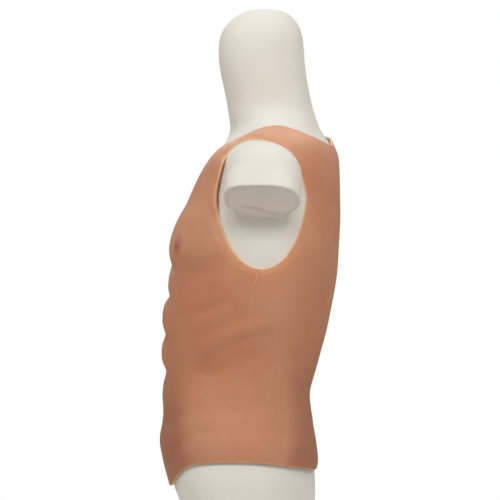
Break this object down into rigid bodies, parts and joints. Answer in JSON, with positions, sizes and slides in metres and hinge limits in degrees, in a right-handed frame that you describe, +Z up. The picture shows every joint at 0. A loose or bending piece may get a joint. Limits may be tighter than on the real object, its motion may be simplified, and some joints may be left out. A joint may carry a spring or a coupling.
{
  "type": "torso display mannequin with muscle vest",
  "caption": "Faceless jersey-covered torso form with short arm stumps, dressed in a moulded silicone muscle vest, on a height-adjustable swivelling stand.",
  "frame": {"origin": "on the floor at the centre of the round base, under the pole", "axes": "+Z up, the figure faces -Y, its left shoulder is at +X"},
  "size_m": [0.4504, 0.38, 1.108],
  "materials": {
    "silicone": "matte skin-textured silicone",
    "jersey": "off-white stretch jersey over thin foam",
    "laminate": "glass-fibre laminate, matte",
    "head_laminate": "moulded shell, matte",
    "plywood": "birch plywood, sanded",
    "chrome": "polished chrome plate",
    "base_steel": "circular brushed",
    "zinc": "zinc plated",
    "black_plastic": "fine moulded grain",
    "nylon": "natural nylon",
    "rubber": "matte rubber"
  },
  "bodies": {
    "stand_base": {"foot_pad_1": "rubber", "foot_pad_2": "rubber", "foot_pad_3": "rubber", "foot_pad_4": "rubber", "base_plate": "base_steel", "base_hub": "chrome", "base_bolt": "zinc", "pole_plug": "zinc", "outer_pole": "chrome", "guide_bush": "nylon", "lock_collar": "black_plastic"},
    "height_lock": {"height_knob": "black_plastic", "height_knob_stud": "zinc"},
    "sliding_pole": {"inner_pole": "chrome", "pole_glide": "nylon", "pole_cap": "zinc"},
    "figure": {"jersey_cover": "jersey", "cover_cord": "jersey", "torso_shell_front": "laminate", "torso_shell_back": "laminate", "bond_strip_left": "laminate", "bond_strip_right": "laminate", "neck_sleeve": "laminate", "head_form": "head_laminate", "arm_board_left": "plywood", "arm_board_right": "plywood", "bottom_board": "plywood", "guide_board": "plywood", "thrust_cup": "nylon", "socket_flange": "zinc", "flange_screw_1": "zinc", "flange_screw_2": "zinc", "flange_screw_3": "zinc", "flange_screw_4": "zinc", "vest_front_panel": "silicone", "vest_back_panel": "silicone"},
    "socket_lock": {"socket_thumb_screw": "black_plastic"}
  },
  "joints": [
    {"name": "height_knob_turn", "type": "hinge", "parent": "stand_base", "child": "height_lock", "pos_m": [0, 0.045, 0.2065], "axis": [0, 1, 0], "range_deg": [0, 360]},
    {"name": "height_slide", "type": "slide", "parent": "stand_base", "child": "sliding_pole", "axis": [0, 0, 1], "range_m": [0, 0.11]},
    {"name": "torso_swivel", "type": "hinge", "parent": "sliding_pole", "child": "figure", "pos_m": [0, 0, 0.4], "axis": [0, 0, 1], "continuous": true},
    {"name": "socket_screw_turn", "type": "hinge", "parent": "figure", "child": "socket_lock", "pos_m": [0, 0.036, 0.258], "axis": [0, 1, 0], "range_deg": [0, 360]}
  ]
}
